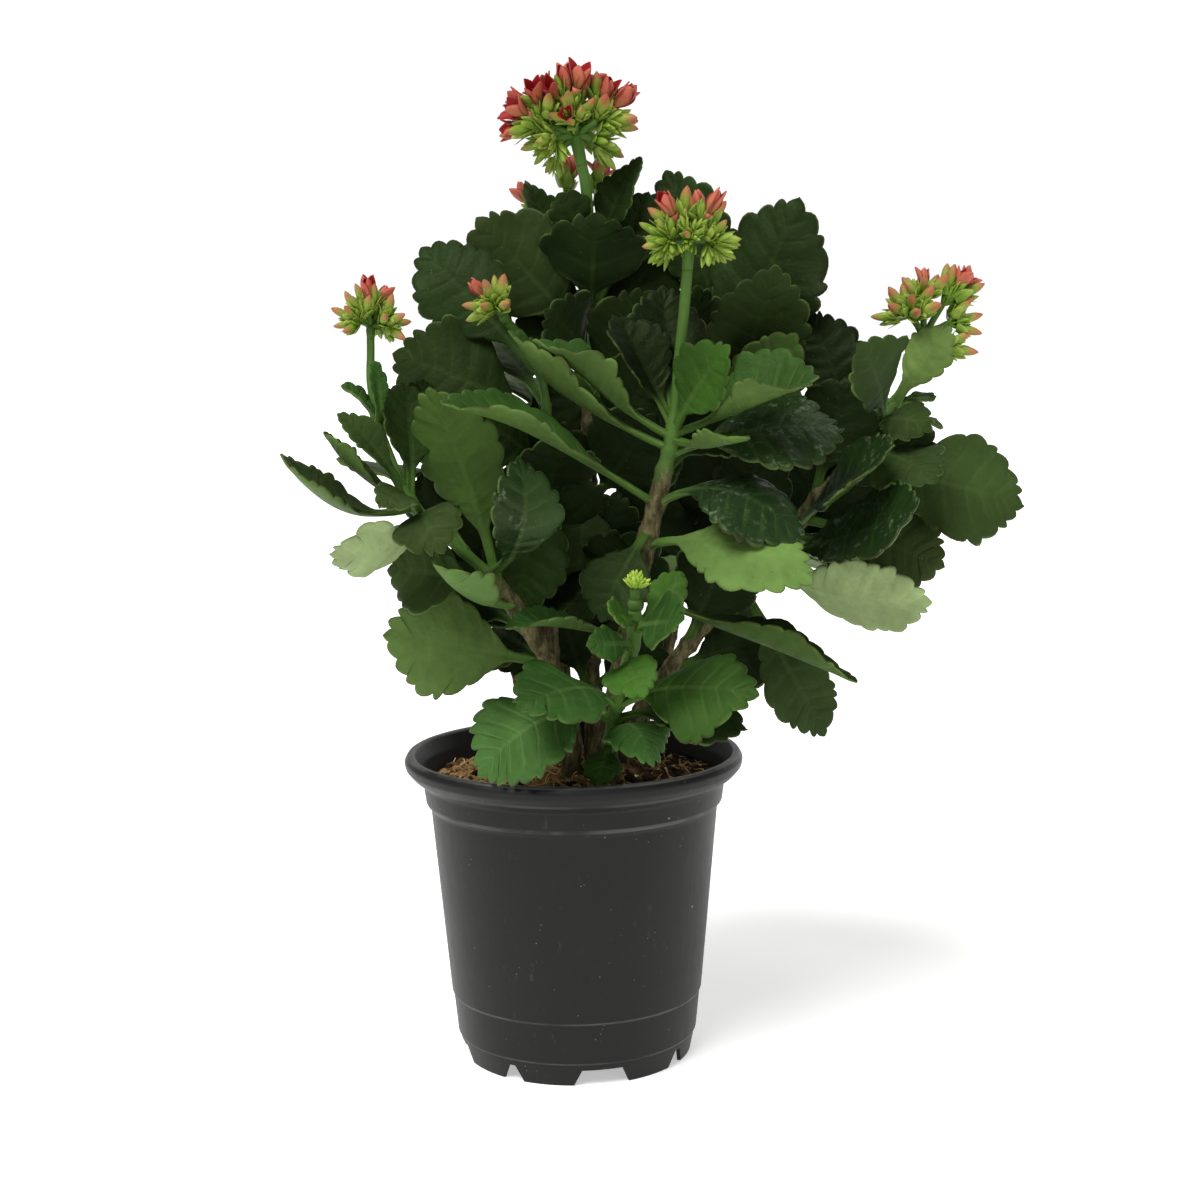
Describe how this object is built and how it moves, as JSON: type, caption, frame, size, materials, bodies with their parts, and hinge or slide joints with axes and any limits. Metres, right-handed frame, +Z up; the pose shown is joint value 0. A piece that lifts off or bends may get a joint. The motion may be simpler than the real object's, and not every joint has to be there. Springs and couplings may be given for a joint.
{
  "type": "potted kalanchoe",
  "caption": "Flowering kalanchoe with scalloped fleshy leaves and coral bud heads, in a round black nursery pot with notched feet.",
  "frame": {"origin": "below the middle of the whole plant's box, at the height of the pot's feet", "axes": "+Z up the plant, +X to the right and +Y to the back of the side that the picture shows"},
  "size_m": [0.273, 0.2102, 0.3818],
  "materials": {
    "pot_plastic": "satin",
    "peat": "matte",
    "foliage": "satin",
    "bloom": "satin",
    "young_bud": "satin"
  },
  "bodies": {
    "root": {"pot": "pot_plastic", "soil": "peat", "shoot_main": "foliage", "shoot_left": "foliage", "shoot_right": "foliage", "shoot_tall": "foliage", "shoot_upper_left": "foliage", "shoot_slender": "foliage", "shoot_short": "foliage", "shoot_rear_right": "foliage", "shoot_rear_left": "foliage", "head_front": "bloom", "head_left": "bloom", "head_right": "bloom", "head_top": "bloom", "head_small": "bloom", "head_rear": "bloom", "bud_low_front": "young_bud"}
  },
  "joints": []
}
